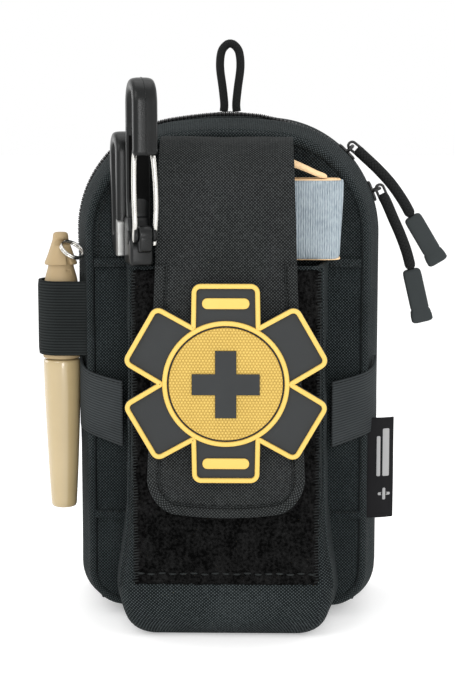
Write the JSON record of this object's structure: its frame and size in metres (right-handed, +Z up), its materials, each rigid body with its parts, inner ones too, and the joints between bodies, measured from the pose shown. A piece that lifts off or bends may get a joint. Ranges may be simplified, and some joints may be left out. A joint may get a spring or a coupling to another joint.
{
  "type": "tourniquet pouch kit",
  "caption": "Zipped belt pouch with a windlass tourniquet in a flapped front holster, rescue shears, marker, splint roll and soft patch.",
  "frame": {"origin": "on the flat base of the rear shell, 13 mm behind the zip plane, midway across the pouch", "axes": "+Z up the pouch, -Y out of its front, +X to the right in a front view"},
  "size_m": [0.1545, 0.0952, 0.2165],
  "materials": {
    "canvas": "woven nylon pack cloth, charcoal, matt",
    "lining": "plain lining cloth",
    "webbing": "ribbed black webbing and binding tape",
    "elastic": "ribbed knitted elastic",
    "loop_pile": "looped and hooked fastening pile",
    "zip_tape": "woven zip tape",
    "zip_teeth": "moulded zip coil",
    "black_metal": "black coated zinc",
    "cord": "braided sheath cord",
    "grip_plastic": "soft moulded grip",
    "black_plastic": "satin moulded nylon",
    "steel": "bright steel",
    "tan_plastic": "glossy moulded plastic, tan",
    "patch_yellow": "soft moulded vinyl, amber",
    "patch_grey": "soft moulded vinyl, dark grey",
    "splint_grey": "fleecy foam face, blue grey",
    "splint_tan": "closed foam face, tan",
    "label": "satin woven label, blank"
  },
  "bodies": {
    "pouch_rear": {"rear_shell": "canvas", "zip_tape_rear": "zip_tape", "zip_chain_rear": "zip_teeth", "base_gusset": "canvas", "hang_tab": "webbing", "hang_loop": "cord", "molle_row_upper": "webbing", "molle_row_lower": "webbing", "molle_strap_left": "webbing", "molle_strap_right": "webbing", "molle_snap_left": "black_metal", "molle_snap_right": "black_metal", "rear_pocket": "lining"},
    "pouch_front": {"front_shell": "canvas", "zip_tape_front": "zip_tape", "zip_chain_front": "zip_teeth", "front_piping": "canvas", "slip_pocket": "canvas", "slip_hem": "canvas", "elastic_band_left": "elastic", "elastic_band_right": "elastic", "side_label": "label", "marker_loop": "elastic", "holder_shell": "canvas", "holder_loop_panel": "loop_pile", "tourniquet_strap": "webbing", "tourniquet_plate": "black_plastic", "tourniquet_windlass": "black_plastic", "tourniquet_clip": "black_plastic", "tourniquet_buckle": "black_plastic"},
    "flap_root": {"flap_top": "canvas"},
    "flap_front": {"flap_panel": "canvas", "flap_binding": "webbing", "flap_hook_panel": "loop_pile"},
    "patch": {"patch_backing": "loop_pile", "patch_base": "patch_grey", "patch_rim": "patch_yellow", "patch_disc": "patch_yellow", "patch_emblem": "patch_grey"},
    "shears": {"shears_clip_handle": "black_plastic", "shears_thumb_handle": "black_plastic", "shears_blade_long": "steel", "shears_blade_short": "steel", "shears_screw": "black_metal", "gate_pin": "steel"},
    "gate": {"gate_wire": "steel"},
    "marker_cap": {"marker_cap": "tan_plastic"},
    "marker_barrel": {"marker_barrel": "tan_plastic"},
    "key_ring": {"key_ring": "steel"},
    "slider_upper": {"zip_slider_upper": "black_metal"},
    "slider_lower": {"zip_slider_lower": "black_metal"},
    "pull_upper": {"pull_bail_upper": "black_metal", "pull_cord_upper": "cord", "pull_grip_upper": "grip_plastic"},
    "pull_lower": {"pull_bail_lower": "black_metal", "pull_cord_lower": "cord", "pull_grip_lower": "grip_plastic"},
    "splint": {"splint_roll": "splint_grey", "splint_core": "splint_tan"}
  },
  "joints": [
    {"name": "front_open", "type": "hinge", "parent": "pouch_rear", "child": "pouch_front", "pos_m": [0, -0.013, 0], "axis": [1, 0, 0], "range_deg": [0, 100]},
    {"name": "flap_lift", "type": "hinge", "parent": "pouch_front", "child": "flap_root", "pos_m": [0, -0.0388, 0.18], "axis": [-1, 0, 0], "range_deg": [0, 95]},
    {"name": "flap_fold", "type": "hinge", "parent": "flap_root", "child": "flap_front", "pos_m": [0, -0.0494, 0.1806], "axis": [-1, 0, 0], "range_deg": [0, 90]},
    {"name": "patch_peel", "type": "slide", "parent": "flap_front", "child": "patch", "axis": [0, -1, 0], "range_m": [0, 0.03]},
    {"name": "shears_draw", "type": "slide", "parent": "pouch_front", "child": "shears", "axis": [0, 0, 1], "range_m": [0, 0.14]},
    {"name": "gate_press", "type": "hinge", "parent": "shears", "child": "gate", "pos_m": [-0.03061, -0.07221, 0.148], "axis": [-0.9703, -0.2419, 0], "range_deg": [0, 18], "stiffness_Nm_per_rad": 0.01, "springref_deg": -5.73},
    {"name": "marker_draw", "type": "slide", "parent": "pouch_front", "child": "marker_cap", "axis": [0, 0, 1], "range_m": [0, 0.08]},
    {"name": "marker_uncap", "type": "slide", "parent": "marker_cap", "child": "marker_barrel", "axis": [0, 0, -1], "range_m": [0, 0.035]},
    {"name": "key_ring_swing", "type": "hinge", "parent": "marker_cap", "child": "key_ring", "pos_m": [-0.0613, -0.03025, 0.1414], "axis": [-0.866, -0.5, 0], "range_deg": [0, 100]},
    {"name": "slider_upper_travel", "type": "hinge", "parent": "pouch_rear", "child": "slider_upper", "pos_m": [0.0147, -0.013, 0.1443], "axis": [0, -1, 0], "range_deg": [0, 30]},
    {"name": "slider_lower_travel", "type": "hinge", "parent": "pouch_rear", "child": "slider_lower", "pos_m": [0.0147, -0.013, 0.1443], "axis": [0, -1, 0], "range_deg": [-18, 0]},
    {"name": "pull_upper_swing", "type": "hinge", "parent": "slider_upper", "child": "pull_upper", "pos_m": [0.0468, -0.0102, 0.1764], "axis": [0, -1, 0], "range_deg": [0, 70]},
    {"name": "pull_lower_swing", "type": "hinge", "parent": "slider_lower", "child": "pull_lower", "pos_m": [0.05708, -0.0158, 0.16057], "axis": [0, -1, 0], "range_deg": [0, 55]},
    {"name": "splint_draw", "type": "slide", "parent": "pouch_front", "child": "splint", "axis": [1, 0, 0], "range_m": [0, 0.06]}
  ]
}
